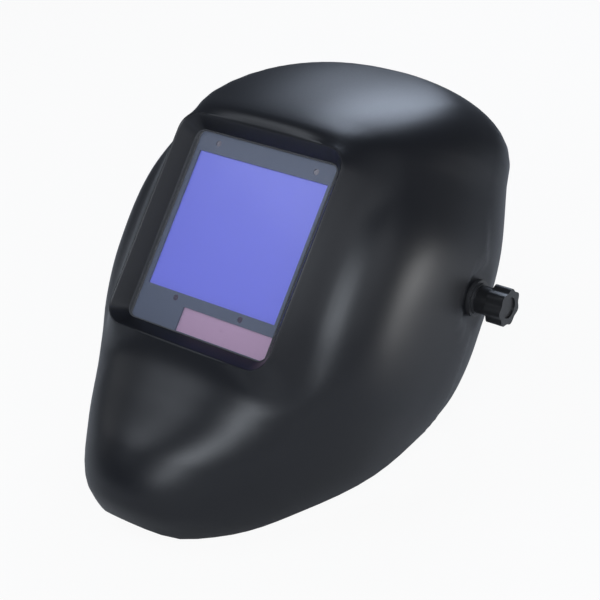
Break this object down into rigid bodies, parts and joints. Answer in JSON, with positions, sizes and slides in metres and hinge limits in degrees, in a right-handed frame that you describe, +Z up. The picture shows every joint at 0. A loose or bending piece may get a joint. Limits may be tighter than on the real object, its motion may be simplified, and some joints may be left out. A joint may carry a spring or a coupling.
{
  "type": "welding helmet",
  "caption": "Auto-darkening welding helmet: moulded black mask with a large filter window, on an adjustable headgear with side pivots and a ratchet knob.",
  "frame": {"origin": "centre of the footprint box on the bench, under the helmet as it rests on its chin edge and ratchet knob", "axes": "+X to the wearer's left, +Y to the back of the helmet, +Z up"},
  "size_m": [0.263, 0.333, 0.2262],
  "materials": {
    "black_plastic": "matte",
    "cell_steel": "bright",
    "clear_lens": "clear",
    "foam_pad": "terry",
    "gasket_foam": "matte",
    "grey_plastic": "matte",
    "ir_glass": "coated",
    "knob_plastic": "semi-gloss",
    "lcd": "coated",
    "nylon": "satin",
    "pcb": "solder mask",
    "sensor": "gloss",
    "shell_plastic": "satin",
    "solar": "cell",
    "steel": "brushed"
  },
  "bodies": {
    "mask": {"shell": "shell_plastic", "filter_carrier": "black_plastic", "stop_plate_left": "black_plastic", "stop_plate_right": "black_plastic", "front_cover_lens": "clear_lens", "lens_gasket": "gasket_foam", "filter_front_case": "grey_plastic", "filter_rear_case": "grey_plastic", "lcd_panel": "lcd", "filter_glass": "ir_glass", "solar_cell": "solar", "arc_sensors": "sensor", "case_screws": "steel", "circuit_board": "pcb", "coin_cells": "cell_steel", "inner_cover_lens": "clear_lens", "retaining_frame": "black_plastic", "pivot_bush_left": "nylon", "pivot_bush_right": "nylon", "friction_washer_left": "nylon", "friction_washer_right": "nylon"},
    "headgear": {"side_arm_left": "black_plastic", "side_arm_right": "black_plastic", "arm_screws": "steel", "headband": "black_plastic", "sweatband": "foam_pad", "crown_strap_front_left": "black_plastic", "crown_strap_front_right": "black_plastic", "crown_strap_rear_left": "black_plastic", "crown_strap_rear_right": "black_plastic", "strap_pegs": "black_plastic", "pivot_bolt_left": "steel", "pivot_bolt_right": "steel", "stop_disc_left": "black_plastic", "stop_disc_right": "black_plastic"},
    "nape": {"rear_strap_left": "black_plastic", "rear_strap_right": "black_plastic", "ratchet_housing": "black_plastic", "nape_pad": "foam_pad"},
    "size_knob": {"ratchet_knob": "knob_plastic"},
    "knob_left": {"tension_knob_left": "knob_plastic"},
    "knob_right": {"tension_knob_right": "knob_plastic"},
    "shade": {"shade_dial": "knob_plastic"},
    "sensitivity": {"sensitivity_dial": "knob_plastic"},
    "delay": {"delay_dial": "knob_plastic"},
    "test": {"test_button": "knob_plastic"},
    "door_left": {"battery_door_left": "black_plastic"},
    "door_right": {"battery_door_right": "black_plastic"},
    "latch_left": {"retainer_latch_left": "black_plastic"},
    "latch_right": {"retainer_latch_right": "black_plastic"}
  },
  "joints": [
    {"name": "mask_tilt", "type": "hinge", "parent": "mask", "child": "headgear", "pos_m": [0, 0.05646, 0.10576], "axis": [1, 0, 0], "range_deg": [0, 50]},
    {"name": "band_size", "type": "slide", "parent": "headgear", "child": "nape", "axis": [0, -0.6092, 0.793], "range_m": [0, 0.016]},
    {"name": "size_knob_turn", "type": "hinge", "parent": "nape", "child": "size_knob", "pos_m": [0, 0.11981, 0.02328], "axis": [0, 0.6092, -0.793], "range_deg": [0, 152.99]},
    {"name": "left_tension", "type": "hinge", "parent": "headgear", "child": "knob_left", "pos_m": [0.107, 0.05646, 0.10576], "axis": [1, 0, 0], "continuous": true},
    {"name": "right_tension", "type": "hinge", "parent": "headgear", "child": "knob_right", "pos_m": [-0.107, 0.05646, 0.10576], "axis": [-1, 0, 0], "continuous": true},
    {"name": "shade_turn", "type": "hinge", "parent": "mask", "child": "shade", "pos_m": [0, -0.07523, 0.1037], "axis": [0, 0.8042, -0.5944], "range_deg": [-135, 135]},
    {"name": "sensitivity_turn", "type": "hinge", "parent": "mask", "child": "sensitivity", "pos_m": [-0.018, -0.07523, 0.1037], "axis": [0, 0.8042, -0.5944], "range_deg": [-135, 135]},
    {"name": "delay_turn", "type": "hinge", "parent": "mask", "child": "delay", "pos_m": [0.018, -0.07523, 0.1037], "axis": [0, 0.8042, -0.5944], "range_deg": [-135, 135]},
    {"name": "left_door_turn", "type": "hinge", "parent": "mask", "child": "door_left", "pos_m": [0.041, -0.07523, 0.1037], "axis": [0, 0.8042, -0.5944], "range_deg": [0, 45]},
    {"name": "right_door_turn", "type": "hinge", "parent": "mask", "child": "door_right", "pos_m": [-0.041, -0.07523, 0.1037], "axis": [0, 0.8042, -0.5944], "range_deg": [0, 45]},
    {"name": "left_latch_turn", "type": "hinge", "parent": "mask", "child": "latch_left", "pos_m": [0.0643, -0.04313, 0.14712], "axis": [0, 0.8042, -0.5944], "range_deg": [0, 90]},
    {"name": "right_latch_turn", "type": "hinge", "parent": "mask", "child": "latch_right", "pos_m": [-0.0643, -0.04313, 0.14712], "axis": [0, -0.8042, 0.5944], "range_deg": [0, 90]},
    {"name": "test_press", "type": "slide", "parent": "mask", "child": "test", "axis": [0, -0.8042, 0.5944], "range_m": [0, 0.001], "stiffness_N_per_m": 300, "springref_m": -0.001}
  ],
  "couplings": [
    {"joint": "size_knob_turn", "follows": "band_size", "rad_per_m": 166.67}
  ]
}
